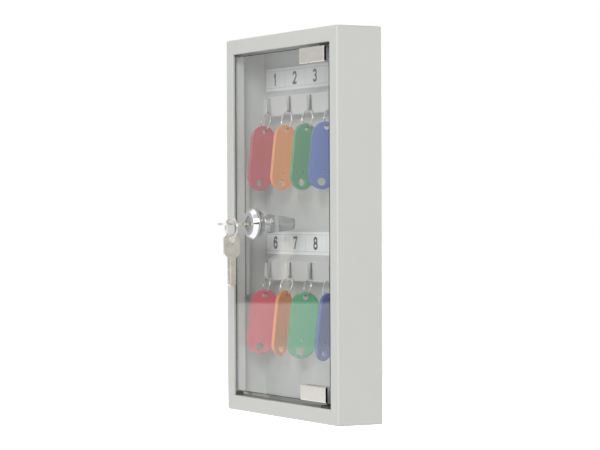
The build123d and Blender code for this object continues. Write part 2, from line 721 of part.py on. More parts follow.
# ---------------------------------------------------------------- tags
# A split ring hangs in each hook and leans out over its foot; the tag hangs on the ring.
ring_mean_radius = (tag_ring_diameter - tag_ring_wire) / 2
up = Vector(0, sin(radians(tag_lean)), cos(radians(tag_lean)))
number = 0
for row, rail_top in rail_tops.items():
    hanging = zip(hook_x, ring_turns[row], ring_leans[row], tag_turns[row])
    for x, ring_turn, ring_lean, tag_turn in hanging:
        number += 1
        across = Vector(cos(radians(ring_turn)), sin(radians(ring_turn)), 0)
        outward = Vector(across.Y, -across.X, 0)
        down = outward * sin(radians(ring_lean)) - Vector(0, 0, cos(radians(ring_lean)))
        ring_top = Vector(x, hook_face - tag_ring_setback, rail_top - rail_height + tag_ring_rise)
        with BuildPart() as tag_ring:
            ring_plane = Plane(
                origin=ring_top + down * ring_mean_radius, x_dir=across, z_dir=across.cross(down)
            )
            with BuildSketch(ring_plane):
                Circle(tag_ring_diameter / 2)
                Circle(tag_ring_diameter / 2 - tag_ring_wire, mode=Mode.SUBTRACT)
            extrude(amount=tag_ring_thickness / 2, both=True)
            chamfer(tag_ring.edges(), ring_edge)
        name = f"tag_ring_{number}"
        tag_ring.part.label = name
        export_step(tag_ring.part, f"parts/{name}.step")

        ring_foot = ring_top + down * 2 * ring_mean_radius
        hole = ring_foot - up * ((tag_hole_diameter - tag_ring_wire) / 2 - tag_ring_play)
        facing = Vector(sin(radians(tag_turn)), -cos(radians(tag_turn)), 0)
        facing = (facing - up * facing.dot(up)).normalized()
        tag_middle = hole + up * (tag_hole_inset - tag_length / 2)
        with BuildPart() as tag:
            tag_plane = Plane(origin=tag_middle, x_dir=up.cross(facing), z_dir=facing)
            with BuildSketch(tag_plane):
                SlotOverall(tag_length, tag_width, rotation=90)
            extrude(amount=tag_thickness / 2, both=True)
            fillet(tag.faces().filter_by(tag_plane).edges(), tag_edge_radius)
            with BuildSketch(tag_plane):
                with Locations((0, tag_length / 2 - tag_hole_inset)):
                    Circle(tag_hole_diameter / 2)
                with Locations((0, tag_eye_inset - tag_length / 2)):
                    Circle(tag_eye_diameter / 2)
                with Locations((0, tag_eye_inset + tag_dot_above_eye - tag_length / 2)):
                    Circle(tag_dot_diameter / 2)
            extrude(amount=tag_thickness, both=True, mode=Mode.SUBTRACT)
            # recess for the paper label, on the side turned to the left wall
            with BuildSketch(tag_plane.offset(-tag_thickness / 2)):
                with Locations((0, tag_window_shift)):
                    RectangleRounded(tag_window_width, tag_window_length, tag_edge_radius)
            extrude(amount=tag_window_depth, mode=Mode.SUBTRACT)
        name = f"tag_{number}"
        tag.part.label = name
        export_step(tag.part, f"parts/{name}.step")
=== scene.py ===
from math import cos, radians, sin

import bmesh
import bpy
from mathutils import Matrix, Vector


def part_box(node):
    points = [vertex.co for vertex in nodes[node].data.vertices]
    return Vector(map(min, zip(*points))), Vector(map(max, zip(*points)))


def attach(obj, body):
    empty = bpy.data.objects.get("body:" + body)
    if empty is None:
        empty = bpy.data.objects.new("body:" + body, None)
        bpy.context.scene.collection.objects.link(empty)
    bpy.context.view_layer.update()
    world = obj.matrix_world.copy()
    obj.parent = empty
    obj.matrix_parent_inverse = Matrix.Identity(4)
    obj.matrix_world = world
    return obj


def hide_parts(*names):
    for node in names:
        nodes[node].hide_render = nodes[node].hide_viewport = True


# Wall cabinet for ten keys: a folded steel case with a frameless glass door, a cam lock and
# two numbered hook rails with coloured key tags. Metres; X across, Z up, the wall at Y = 0.
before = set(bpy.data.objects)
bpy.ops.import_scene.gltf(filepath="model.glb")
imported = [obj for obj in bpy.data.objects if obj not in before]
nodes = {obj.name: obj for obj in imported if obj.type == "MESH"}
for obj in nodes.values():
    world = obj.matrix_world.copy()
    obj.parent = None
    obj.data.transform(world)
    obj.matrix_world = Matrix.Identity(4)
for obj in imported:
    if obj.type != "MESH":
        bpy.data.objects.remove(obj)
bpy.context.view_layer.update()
mm = 0.001

# ---------------------------------------------------------------- case
# The case is one sheet of 1 mm steel, cut, folded and welded at its mitred corners. The back
# is a flat sheet spot welded into it. Both are powder coated in a light warm grey, satin,
# with the fine orange peel that baked powder has.


def paint(red, green, blue):
    """Display colour, 0 to 255, as a linear colour."""
    channels = [value / 255 for value in (red, green, blue)]
    linear = [c / 12.92 if c <= 0.04045 else ((c + 0.055) / 1.055) ** 2.4 for c in channels]
    return (*linear, 1.0)


def new_material(name, colour, roughness, **sockets):
    """Principled material; further sockets are named with underscores for spaces."""
    material = bpy.data.materials.new(name)
    material.use_nodes = True
    shader = material.node_tree.nodes["Principled BSDF"]
    shader.inputs["Base Color"].default_value = colour
    shader.inputs["Roughness"].default_value = roughness
    for socket, value in sockets.items():
        shader.inputs[socket.replace("_", " ")].default_value = value
    return material, shader


def wired(tree, kind, inputs, **settings):
    """New node with its settings; each input, by name or number, gets a socket or a plain value."""
    node = tree.nodes.new(kind)
    for setting, value in settings.items():
        setattr(node, setting, value)
    for key, value in inputs.items():
        if isinstance(value, bpy.types.NodeSocket):
            tree.links.new(value, node.inputs[key])
        else:
            node.inputs[key].default_value = value
    return node


def maths(tree, operation, *values):
    """Output of a Math node on sockets or plain numbers."""
    return wired(tree, "ShaderNodeMath", dict(enumerate(values)), operation=operation).outputs[0]


def coordinates(tree, kind="Object"):
    """X, Y and Z of the point, or with kind "Normal" of the direction the surface faces."""
    place = tree.nodes.new("ShaderNodeTexCoord").outputs[kind]
    return wired(tree, "ShaderNodeSeparateXYZ", {0: place}).outputs


def new_group(name, inputs, outputs):
    """Empty shader group; inputs are (name, kind, default), outputs are (name, kind)."""
    tree = bpy.data.node_groups.new(name, "ShaderNodeTree")
    for label, kind, value in inputs:
        socket = tree.interface.new_socket(label, in_out="INPUT", socket_type="NodeSocket" + kind)
        socket.default_value = value
    for label, kind in outputs:
        tree.interface.new_socket(label, in_out="OUTPUT", socket_type="NodeSocket" + kind)
    return tree, tree.nodes.new("NodeGroupInput").outputs, tree.nodes.new("NodeGroupOutput").inputs


def place_group(material, group, **values):
    """Group node in a material, with its inputs set by name."""
    inputs = {label.replace("_", " "): value for label, value in values.items()}
    return wired(material.node_tree, "ShaderNodeGroup", inputs, node_tree=group)


def dress(material, *names):
    """Gives CAD nodes a material through their slots."""
    for name in names:
        nodes[name].material_slots[0].material = material


# Every finish group takes these inputs and gives these outputs.
finish_inputs = [
    ("Colour", "Color", (0.8, 0.8, 0.8, 1.0)),
    ("Mottle", "Float", 0.03),
    ("Depth", "Float", 0.00002),
    ("Roughness", "Float", 0.5),
    ("Roughness Spread", "Float", 0.05),
]
finish_outputs = [("Colour", "Color"), ("Roughness", "Float"), ("Normal", "Vector")]
# Fine relief and mottling of a coat, moulding or print, on the piece's own coordinates.
surface_grain, grain_given, grain_result = new_group(
    "surface_grain",
    finish_inputs + [("Patch Size", "Float", 0.03), ("Grain Size", "Float", 0.0007)],
    finish_outputs,
)


def lay_finish(tree, given, result, mottling, sheen, relief):
    """Turns noises into a colour, a roughness and a relief by the group's inputs."""
    swing = maths(tree, "MULTIPLY_ADD", mottling, given["Mottle"], 1.0)
    centred = maths(tree, "MULTIPLY_ADD", given["Mottle"], -0.5, swing)
    tint = wired(
        tree, "ShaderNodeVectorMath", {0: given["Colour"], "Scale": centred}, operation="SCALE",
    )
    rough = maths(tree, "MULTIPLY_ADD", sheen, given["Roughness Spread"], given["Roughness"])
    bump = wired(tree, "ShaderNodeBump", {"Height": relief, "Distance": given["Depth"]})
    tree.links.new(tint.outputs[0], result["Colour"])
    tree.links.new(rough, result["Roughness"])
    tree.links.new(bump.outputs["Normal"], result["Normal"])


grain_detail = 3.0


def build_surface_grain():
    """Two noises: a wide one for mottling and a fine one for relief and sheen."""
    place = surface_grain.nodes.new("ShaderNodeTexCoord").outputs["Object"]
    patch, grain = (
        wired(
            surface_grain, "ShaderNodeTexNoise",
            {
                "Vector": place,
                "Scale": maths(surface_grain, "DIVIDE", 1.0, grain_given[size]),
                "Detail": grain_detail,
            },
        ).outputs["Fac"]
        for size in ("Patch Size", "Grain Size")
    )
    lay_finish(surface_grain, grain_given, grain_result, patch, grain, grain)


build_surface_grain()


def finished(name, group, colour, roughness, mottle, depth, spread, sizes, **sockets):
    """Principled material whose colour, roughness and relief come from a finish group."""
    material, shader = new_material(name, colour, roughness, **sockets)
    node = place_group(
        material, group, Colour=colour, Mottle=mottle, Depth=depth, Roughness=roughness,
        Roughness_Spread=spread, **sizes,
    )
    for output, socket in (("Colour", "Base Color"), ("Roughness", "Roughness"), ("Normal", "Normal")):
        material.node_tree.links.new(node.outputs[output], shader.inputs[socket])
    return material


def grained(name, colour, roughness, mottle, patch, grain, depth, spread=0.05, **sockets):
    """Painted, moulded or printed finish: wide mottling and fine grain."""
    sizes = {"Patch_Size": patch, "Grain_Size": grain}
    return finished(name, surface_grain, colour, roughness, mottle, depth, spread, sizes, **sockets)


# Hairline where the front frame is mitred and welded, from each corner of the opening outwards.
mitre_seam, seam_given, seam_result = new_group(
    "mitre_seam",
    [
        ("Half Width", "Float", 0.095),
        ("Half Height", "Float", 0.15),
        ("Frame Width", "Float", 0.012),
        ("Front", "Float", -0.037),
        ("Line", "Float", 0.00012),
    ],
    [("Mask", "Float")],
)


def build_mitre_seam():
    """One where a point of the front frame is as far from the end as from the side."""
    tree, given = mitre_seam, seam_given
    point = coordinates(tree)
    from_side = maths(tree, "SUBTRACT", given["Half Width"], maths(tree, "ABSOLUTE", point["X"]))
    from_end = maths(tree, "SUBTRACT", given["Half Height"], maths(tree, "ABSOLUTE", point["Z"]))
    off_line = maths(tree, "ABSOLUTE", maths(tree, "SUBTRACT", from_side, from_end))
    on_line = maths(tree, "LESS_THAN", off_line, given["Line"])
    in_corner = maths(tree, "LESS_THAN", from_side, given["Frame Width"])
    in_front = maths(tree, "LESS_THAN", point["Y"], given["Front"])
    both = maths(tree, "MULTIPLY", on_line, in_corner)
    tree.links.new(maths(tree, "MULTIPLY", both, in_front), seam_result["Mask"])


build_mitre_seam()

# Part of a piece that lies in a box, where a painted shade or painted shadow darkens the coat.
inside_box, box_given, box_result = new_group(
    "inside_box",
    [("Low", "Vector", (-0.09, -0.037, -0.149)), ("High", "Vector", (0.09, -0.001, -0.138))],
    [("Mask", "Float")],
)


def build_inside_box():
    """One where a point lies between two corners along every axis."""
    tree = inside_box
    place = tree.nodes.new("ShaderNodeTexCoord").outputs["Object"]

    def combined(operation, first, second):
        return wired(tree, "ShaderNodeVectorMath", {0: first, 1: second}, operation=operation).outputs[0]

    past_low = combined("SUBTRACT", place, box_given["Low"])
    before_high = combined("SUBTRACT", box_given["High"], place)
    nearest = combined("MINIMUM", past_low, before_high)
    gap = wired(tree, "ShaderNodeSeparateXYZ", {0: nearest}).outputs
    least = maths(tree, "MINIMUM", maths(tree, "MINIMUM", gap["X"], gap["Y"]), gap["Z"])
    tree.links.new(maths(tree, "GREATER_THAN", least, 0.0), box_result["Mask"])


build_inside_box()


def darken(material, mask, colour, share):
    """Lays a share of a darker colour over a material's base colour where a mask is one."""
    tree = material.node_tree
    base = tree.nodes["Principled BSDF"].inputs["Base Color"]
    factor = maths(tree, "MULTIPLY", mask, share)
    under = base.links[0].from_socket
    mix = wired(tree, "ShaderNodeMix", {"Factor": factor, "A": under, "B": colour}, data_type="RGBA")
    tree.links.new(mix.outputs["Result"], base)


sheet_low, sheet_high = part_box("casing")
sheet_thickness = 1.0 * mm
frame_width = 12.0 * mm
lip_depth = 13.0 * mm
lip_rear = sheet_low.y + lip_depth
lip_floor = sheet_low.z + frame_width
skin = 0.3 * mm                 # keeps a box clear of the faces on the far side of a sheet
bend = 2.5 * mm                 # and of the rounded folds outside
seam_colour = paint(120, 120, 117)
painted_shade_colour = paint(52, 52, 50)
powder_coat = grained(
    "powder_coat", paint(201, 202, 198), 0.40, mottle=0.035, patch=0.045, grain=0.8 * mm,
    depth=0.02 * mm,
)
seam = place_group(
    powder_coat, mitre_seam, Half_Width=sheet_high.x, Half_Height=sheet_high.z,
    Frame_Width=frame_width, Front=sheet_low.y + sheet_thickness,
)
# Painted shade: the floor of the lip under the door and the channel behind it are darkened for the shade
# in the gap under the door.
painted_lip_shade = place_group(
    powder_coat, inside_box,
    Low=(sheet_low.x + frame_width - skin, sheet_low.y + sheet_thickness, lip_floor - skin),
    High=(sheet_high.x - frame_width + skin, lip_rear + skin, lip_floor + skin),
)
painted_channel_shade = place_group(
    powder_coat, inside_box,
    Low=(sheet_low.x + bend, lip_rear, sheet_low.z + skin),
    High=(sheet_high.x - bend, sheet_high.y - skin, lip_floor + skin),
)
darken(powder_coat, seam.outputs["Mask"], seam_colour, share=0.45)
# painted shade on the floor of the lip and in the channel behind it
darken(powder_coat, painted_lip_shade.outputs["Mask"], painted_shade_colour, share=0.45)
darken(powder_coat, painted_channel_shade.outputs["Mask"], painted_shade_colour, share=0.28)
dress(powder_coat, "casing", "back_panel")

# The strike's coat is painted darker than the case, a painted shade for its place deep behind the lip,
# with a painted shadow in the step where it is welded to the lip.
strike_shade_coat = grained(
    "strike_shade_coat", paint(184, 184, 181), 0.45, mottle=0.05, patch=0.02, grain=0.8 * mm, depth=0.02 * mm,
)
step_shadow_width = 1.8 * mm
step_shadow_colour = paint(92, 92, 91)
strike_low, strike_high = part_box("strike_plate")
painted_step_shadow = place_group(
    strike_shade_coat, inside_box,
    Low=(strike_low.x - skin, strike_low.y - skin, strike_low.z - skin),
    High=(strike_high.x + skin, lip_rear + step_shadow_width, strike_high.z + skin),
)
# painted shadow of the lip's edge on the strike
darken(strike_shade_coat, painted_step_shadow.outputs["Mask"], step_shadow_colour, share=0.9)
dress(strike_shade_coat, "strike_plate")

# ---------------------------------------------------------------- hook rails
# Two folded rails with lanced hooks, in the same powder as the case, a shade lighter from
# their own batch.
rail_paint = grained(
    "rail_paint", paint(206, 205, 203), 0.42, mottle=0.03, patch=0.04, grain=0.7 * mm, depth=0.015 * mm,
)
rows = ("upper", "lower")
dress(rail_paint, *[f"hook_rail_{row}" for row in rows])

# ---------------------------------------------------------------- number strips
# Self-adhesive white strips, one cell to a hook: black digits, a thin frame and thin rules
# between the cells, printed on smooth film.
strip_film = grained(
    "strip_film", paint(245, 245, 245), 0.38, mottle=0.02, patch=0.02, grain=0.4 * mm, depth=0.004 * mm,
)
dress(strip_film, *[f"number_strip_{row}" for row in rows])


def ink(name, colour, mottle):
    """Printing ink, a little uneven."""
    return grained(name, colour, 0.42, mottle, patch=0.004, grain=0.3 * mm, depth=0.004 * mm)


digit_ink = ink("digit_ink", paint(12, 12, 14), 0.25)
rule_ink = ink("rule_ink", paint(176, 177, 182), 0.1)
cell_pitch = 34.8 * mm
cell_count = 5
print_shift = -2.5 * mm         # print off the middle of the rail
frame_top = 2.2 * mm            # printed frame below the upper edge of the strip
frame_bottom = 2.6 * mm
frame_end = 0.8 * mm
ink_height = 0.03 * mm
rule_width = 0.28 * mm
digit_height = 10.6 * mm
digit_width = 7.2 * mm
digit_stroke = 2.05 * mm
digit_shift = -0.6 * mm
pair_narrowing = 0.82           # width of a digit in a number of two, as a share of one alone
pair_spacing = 1.12             # step between them, as a share of their width


def geometry_tree(name, inputs):
    """Empty Geometry Nodes tree with named inputs and one geometry output."""
    tree = bpy.data.node_groups.new(name, "GeometryNodeTree")
    for label, kind, value in inputs:
        socket = tree.interface.new_socket(label, in_out="INPUT", socket_type="NodeSocket" + kind)
        if value is not None:
            socket.default_value = value
    tree.interface.new_socket("Geometry", in_out="OUTPUT", socket_type="NodeSocketGeometry")
    return tree, tree.nodes.new("NodeGroupInput").outputs


def vector(tree, x, y, z):
    """Output of a Combine XYZ node on sockets or plain numbers."""
    return wired(tree, "ShaderNodeCombineXYZ", {0: x, 1: y, 2: z}).outputs[0]


def joined(tree, first, second):
    """Two geometries as one."""
    node = wired(tree, "GeometryNodeJoinGeometry", {"Geometry": first})
    tree.links.new(second, node.inputs["Geometry"])
    return node.outputs[0]


def end_tree(tree, geometry, material):
    """Realizes the instances, sets the material and ends the tree."""
    real = wired(tree, "GeometryNodeRealizeInstances", {"Geometry": geometry}).outputs[0]
    coated = wired(tree, "GeometryNodeSetMaterial", {"Geometry": real, "Material": material})
    wired(tree, "NodeGroupOutput", {"Geometry": coated.outputs[0]})


def set_input(modifier, label, value):
    """Sets a Geometry Nodes input by its socket's identifier."""
    for item in modifier.node_group.interface.items_tree:
        if item.item_type == "SOCKET" and item.in_out == "INPUT" and item.name == label:
            modifier[item.identifier] = value


def grow(tree, name, **values):
    """Plain mesh that a Geometry Nodes tree gives for these inputs, in its own frame."""
    holder = bpy.data.objects.new(name + "_holder", bpy.data.meshes.new(name + "_holder"))
    bpy.context.scene.collection.objects.link(holder)
    modifier = holder.modifiers.new("nodes", "NODES")
    modifier.node_group = tree
    for label, value in values.items():
        set_input(modifier, label.replace("_", " "), value)
    bpy.context.view_layer.update()
    evaluated = holder.evaluated_get(bpy.context.evaluated_depsgraph_get())
    mesh = bpy.data.meshes.new_from_object(evaluated)
    holder.modifiers.remove(modifier)
    bpy.data.objects.remove(holder)
    mesh.name = name
    return mesh


def add_piece(name, mesh, body, material=None):
    """Puts a finished mesh in the scene as a piece that rides on a body."""
    piece = bpy.data.objects.new(name, mesh)
    bpy.context.scene.collection.objects.link(piece)
    if material is not None:
        mesh.materials.clear()
        mesh.materials.append(material)
    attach(piece, body)
    return piece


# Ladder of rules: uprights between the cells, and a line above and below them.
rule_tree, rule_given = geometry_tree(
    "strip_rules",
    [
        ("Cells", "Int", cell_count),
        ("Pitch", "Float", cell_pitch),
        ("Shift", "Float", print_shift),
        ("Width", "Float", 0.175),
        ("Height", "Float", 0.013),
        ("Line", "Float", rule_width),
        ("Depth", "Float", ink_height),
        ("Ink", "Material", None),
    ],
)


def build_rule_tree():
    """Uprights are copies on a line of points, and so are the two long lines."""
    tree, given = rule_tree, rule_given

    def copies(count, start, step, size):
        points = wired(
            tree, "GeometryNodeMeshLine", {"Count": count, "Start Location": start, "Offset": step},
        )
        rule = wired(tree, "GeometryNodeMeshCube", {"Size": size}).outputs["Mesh"]
        inputs = {"Points": points.outputs["Mesh"], "Instance": rule}
        return wired(tree, "GeometryNodeInstanceOnPoints", inputs).outputs["Instances"]

    count = maths(tree, "SUBTRACT", given["Cells"], 1.0)
    reach = maths(tree, "MULTIPLY", maths(tree, "SUBTRACT", count, 1.0), given["Pitch"])
    start = maths(tree, "SUBTRACT", given["Shift"], maths(tree, "MULTIPLY", reach, 0.5))
    foot = maths(tree, "MULTIPLY", given["Height"], -0.5)
    uprights = copies(
        count, vector(tree, start, 0.0, 0.0), vector(tree, given["Pitch"], 0.0, 0.0),
        vector(tree, given["Line"], given["Depth"], given["Height"]),
    )
    long_lines = copies(
        2, vector(tree, 0.0, 0.0, foot), vector(tree, 0.0, 0.0, given["Height"]),
        vector(tree, given["Width"], given["Depth"], given["Line"]),
    )
    end_tree(tree, joined(tree, uprights, long_lines), given["Ink"])


build_rule_tree()
arc_step = 12                   # degrees between the points of a round stroke
closing_gap = 0.001 * mm        # a stroke whose ends are nearer than this is a closed loop
least_spread = 0.35             # least share by which the width at a mitred bend is divided


def arc(x, z, radius_x, radius_z, first, last):
    """Points on an ellipse between two angles, in degrees."""
    steps = max(2, round(abs(last - first) / arc_step))
    turns = [radians(first + (last - first) * i / steps) for i in range(steps + 1)]
    return [(x + radius_x * cos(turn), z + radius_z * sin(turn)) for turn in turns]


# Middle lines of the digits, as shares of the half width and half height of those lines.
digit_lines = {
    "0": [arc(0, 0, 1, 1, 90, 450)],
    "1": [[(-0.62, 0.5), (-0.12, 0.62), (0.24, 1.2)], [(0.24, 1.2), (0.24, -1.2)]],
    "2": [arc(0, 0.45, 0.98, 0.55, 170, -25) + [(0.1, -0.42), (-0.98, -1)], [(-1.3, -1), (1.3, -1)]],
    "3": [arc(-0.05, 0.51, 0.88, 0.49, 165, -90), arc(-0.05, -0.48, 1, 0.52, 95, -165)],
    "4": [[(0.42, 1.2), (0.42, -1.2)], [(1.35, -0.45), (-1, -0.45), (0.34, 1.1)]],
    "5": [[(1.2, 1), (-0.72, 1), (-0.95, -0.02)] + arc(0, -0.36, 1, 0.64, 135, -155)],
    "6": [arc(0, -0.4, 1, 0.6, 90, 450), arc(0.06, -0.02, 1.06, 1.02, 185, 35)],
    "7": [[(-1.3, 1), (0.98, 1), (0.2, -0.1), (-0.35, -1.2)]],
    "8": [arc(0, 0.52, 0.86, 0.48, 90, 450), arc(0, -0.48, 1, 0.52, 90, 450)],
    "9": [arc(0, 0.4, 1, 0.6, 90, 450), arc(-0.06, 0.02, 1.06, 1.02, 5, -145)],
}


def print_stroke(print_mesh, points, width, y):
    """Raised ribbon of ink along a line of points, mitred where the line bends."""
    closed = (Vector(points[0]) - Vector(points[-1])).length < closing_gap
    line = [Vector(point) for point in (points[:-1] if closed else points)]
    count = len(line)
    sections = []
    for i, point in enumerate(line):
        before = line[i - 1] if closed or i > 0 else None
        after = line[(i + 1) % count] if closed or i < count - 1 else None
        steps = [(point - before).normalized()] if before is not None else []
        steps += [(after - point).normalized()] if after is not None else []
        along = sum(steps, Vector((0, 0))).normalized()
        side = Vector((-along.y, along.x)) * (width / 2 / max(least_spread, along.dot(steps[0])))
        corners = []
        for place in (point - side, point + side):
            for depth in (ink_height / 2, -ink_height / 2):
                corners.append(print_mesh.verts.new((place.x, y + depth, place.y)))
        sections.append(corners)
    spans = list(zip(sections, sections[1:] + sections[:1]))
    for first, second in spans if closed else spans[:-1]:
        for a, b in ((0, 1), (1, 3), (3, 2), (2, 0)):
            print_mesh.faces.new((first[a], first[b], second[b], second[a]))
    if not closed:
        print_mesh.faces.new([sections[0][i] for i in (0, 2, 3, 1)])
        print_mesh.faces.new([sections[-1][i] for i in (0, 1, 3, 2)])


def print_number(print_mesh, text, x, y, z):
    """Raised print of a number, centred on a point and facing the door."""
    narrow = 1.0 if len(text) == 1 else pair_narrowing
    half_width = (digit_width - digit_stroke) / 2 * narrow
    half_height = (digit_height - digit_stroke) / 2
    for i, digit in enumerate(text):
        middle = x + (i - (len(text) - 1) / 2) * digit_width * narrow * pair_spacing
        for stroke in digit_lines[digit]:
            points = [(middle + px * half_width, z + pz * half_height) for px, pz in stroke]
            print_stroke(print_mesh, points, digit_stroke, y)


for row_index, row in enumerate(rows):
    strip_low, strip_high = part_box(f"number_strip_{row}")
    print_y = strip_low.y - ink_height / 2
    frame_height = strip_high.z - strip_low.z - frame_top - frame_bottom
    frame_middle = strip_low.z + frame_bottom + frame_height / 2
    rules = grow(
        rule_tree, f"strip_rules_{row}", Width=strip_high.x - strip_low.x - 2 * frame_end,
        Height=frame_height, Ink=rule_ink,
    )
    rules.transform(Matrix.Translation((0, print_y, frame_middle)))
    add_piece(f"strip_rules_{row}", rules, "cabinet")
    digits = bpy.data.meshes.new(f"digits_{row}")
    numbers = bmesh.new()
    for cell in range(cell_count):
        cell_x = (cell - (cell_count - 1) / 2) * cell_pitch + print_shift + digit_shift
        print_number(numbers, str(row_index * cell_count + cell + 1), cell_x, print_y, frame_middle)
    bmesh.ops.recalc_face_normals(numbers, faces=numbers.faces)
    numbers.to_mesh(digits)
    numbers.free()
    add_piece(f"digits_{row}", digits, "cabinet", digit_ink)

# ---------------------------------------------------------------- pivot bushes
# Two plain bushes of moulded black nylon, pressed into the frame above and below the door.
# The steel pivot pins turn in them.
black_nylon = grained(
    "black_nylon", paint(13, 13, 14), 0.48, mottle=0.2, patch=0.006, grain=0.25 * mm, depth=0.006 * mm,
)
dress(black_nylon, *[f"pivot_bush_{row}" for row in rows])

# ---------------------------------------------------------------- glass door
# One pane of 4 mm float glass, clear and nearly colourless. Its edges are ground, so they look dull; seen
# through the glass they are painted dark, a painted shade.
glass, glass_shader = new_material(
    "door_glass", paint(250, 252, 252), 0.0, Transmission_Weight=1.0, IOR=1.52,
)
edge_colour = paint(168, 174, 173)
# painted shade: the edge seen through the glass gets a far darker colour than seen from outside
edge_through_glass_shade = paint(44, 48, 49)     # the same edge seen through the glass
edge_start = 0.45               # a face counts as edge where its normal has less than this along Y
face_reflection = 0.043         # share of light that a face turns back head on
slant_power = 5.0               # how late that share grows as the view turns to a low angle
passed_tint = paint(254, 255, 255)


def build_glass():
    """Clear faces and ground edges, told apart by the pane's own normals."""
    tree = glass.node_tree

    def either(factor, first, second):
        return wired(tree, "ShaderNodeMixShader", {0: factor, 1: first, 2: second}).outputs[0]

    edge = maths(
        tree, "LESS_THAN", maths(tree, "ABSOLUTE", coordinates(tree, "Normal")["Y"]), edge_start,
    )
    # light passes straight through, so that what hangs inside is lit and casts soft shadows;
    # less of it does at a low angle
    path = tree.nodes.new("ShaderNodeLightPath").outputs
    facing = tree.nodes.new("ShaderNodeLayerWeight").outputs["Facing"]
    slant = maths(tree, "POWER", facing, slant_power)
    passed = maths(tree, "MULTIPLY_ADD", slant, face_reflection - 1.0, 1.0 - face_reflection)
    tint = wired(
        tree, "ShaderNodeVectorMath", {0: passed_tint[:3], "Scale": passed}, operation="SCALE",
    )
    passing = wired(tree, "ShaderNodeBsdfTransparent", {"Color": tint.outputs[0]}).outputs[0]
    straight = maths(tree, "MAXIMUM", path["Is Shadow Ray"], path["Is Diffuse Ray"])
    back = tree.nodes.new("ShaderNodeNewGeometry").outputs["Backfacing"]
    # painted shade, chosen by the side the edge is seen from
    shade = wired(
        tree, "ShaderNodeMix", {"Factor": back, "A": edge_colour, "B": edge_through_glass_shade}, data_type="RGBA",
    )
    ground = wired(tree, "ShaderNodeBsdfDiffuse", {"Color": shade.outputs["Result"]}).outputs[0]
    faces = either(straight, glass_shader.outputs[0], passing)
    whole = either(edge, faces, ground)
    tree.links.new(whole, tree.nodes["Material Output"].inputs["Surface"])


build_glass()
dress(glass, "glass_pane")

# ---------------------------------------------------------------- hinges
# Each hinge is a pair of cast plates that clamp the glass between clear soft pads, with two
# screws and a steel pivot pin. The front plates are satin nickel, brushed along their length,
# and the rear ones are left as they were cast.
brushed_metal, brushed_given, brushed_result = new_group(
    "brushed_metal", finish_inputs + [("Line Size", "Vector", (0.012, 0.0002, 0.0002))], finish_outputs,
)
line_detail = 4.0
mark_detail = 2.0
marks_per_metre = 220.0
line_share = 0.6                # of the lines in colour and sheen; handling marks are the rest


def build_brushed_metal():
    """Noise stretched along the brushing, over a wide soft one for handling marks."""
    tree = brushed_metal
    place = tree.nodes.new("ShaderNodeTexCoord").outputs["Object"]
    stretched = wired(
        tree, "ShaderNodeVectorMath", {0: place, 1: brushed_given["Line Size"]}, operation="DIVIDE",
    )
    lines = wired(
        tree, "ShaderNodeTexNoise", {"Vector": stretched.outputs[0], "Scale": 1.0, "Detail": line_detail},
    ).outputs["Fac"]
    marks = wired(
        tree, "ShaderNodeTexNoise", {"Vector": place, "Scale": marks_per_metre, "Detail": mark_detail},
    ).outputs["Fac"]
    marked = maths(tree, "MULTIPLY", marks, 1.0 - line_share)
    both = maths(tree, "MULTIPLY_ADD", lines, line_share, marked)
    lay_finish(tree, brushed_given, brushed_result, both, both, lines)


build_brushed_metal()


def brushed(name, colour, roughness, line_size, depth, shade=0.15, spread=0.15):
    """Metal with brushed lines; line_size is the size of a streak along X, Y and Z."""
    sizes = {"Line_Size": line_size}
    return finished(name, brushed_metal, colour, roughness, shade, depth, spread, sizes, Metallic=1.0)


def even(size):
    """Streak as long as it is wide, for a tumbled or cast surface."""
    return (size, size, size)


satin_nickel = brushed(
    "satin_nickel", paint(202, 198, 192), 0.20, (14 * mm, 0.18 * mm, 0.18 * mm), 0.0012 * mm,
)
cast_plate = brushed("cast_plate", paint(226, 224, 220), 0.35, even(1.5 * mm), 0.003 * mm)
zinc_plate = brushed("zinc_plate", paint(186, 187, 187), 0.22, even(1.2 * mm), 0.003 * mm, shade=0.2)
soft_pad = grained(
    "soft_pad", paint(214, 216, 214), 0.4, mottle=0.05, patch=0.006, grain=0.4 * mm, depth=0.01 * mm,
    Transmission_Weight=0.35, IOR=1.45,
)
# The cut ends of the front plates are painted dark, a painted shade for the shadow side of each plate.
painted_end_shade, end_given, end_result = new_group("painted_end_shade", [("Start", "Float", 0.8)], [("Mask", "Float")])
end_shade_colour = paint(38, 38, 38)


def build_painted_end_shade():
    """One on faces that look along X."""
    sideways = maths(painted_end_shade, "ABSOLUTE", coordinates(painted_end_shade, "Normal")["X"])
    past = maths(painted_end_shade, "GREATER_THAN", sideways, end_given["Start"])
    painted_end_shade.links.new(past, end_result["Mask"])


build_painted_end_shade()
# painted shade on the ends of the front plates
darken(satin_nickel, place_group(satin_nickel, painted_end_shade).outputs["Mask"], end_shade_colour, share=1.0)
for row in rows:
    dress(satin_nickel, f"hinge_front_plate_{row}")
    dress(cast_plate, f"hinge_rear_plate_{row}")
    dress(soft_pad, f"hinge_pads_{row}")
    dress(zinc_plate, f"hinge_screws_{row}", f"pivot_pin_{row}")

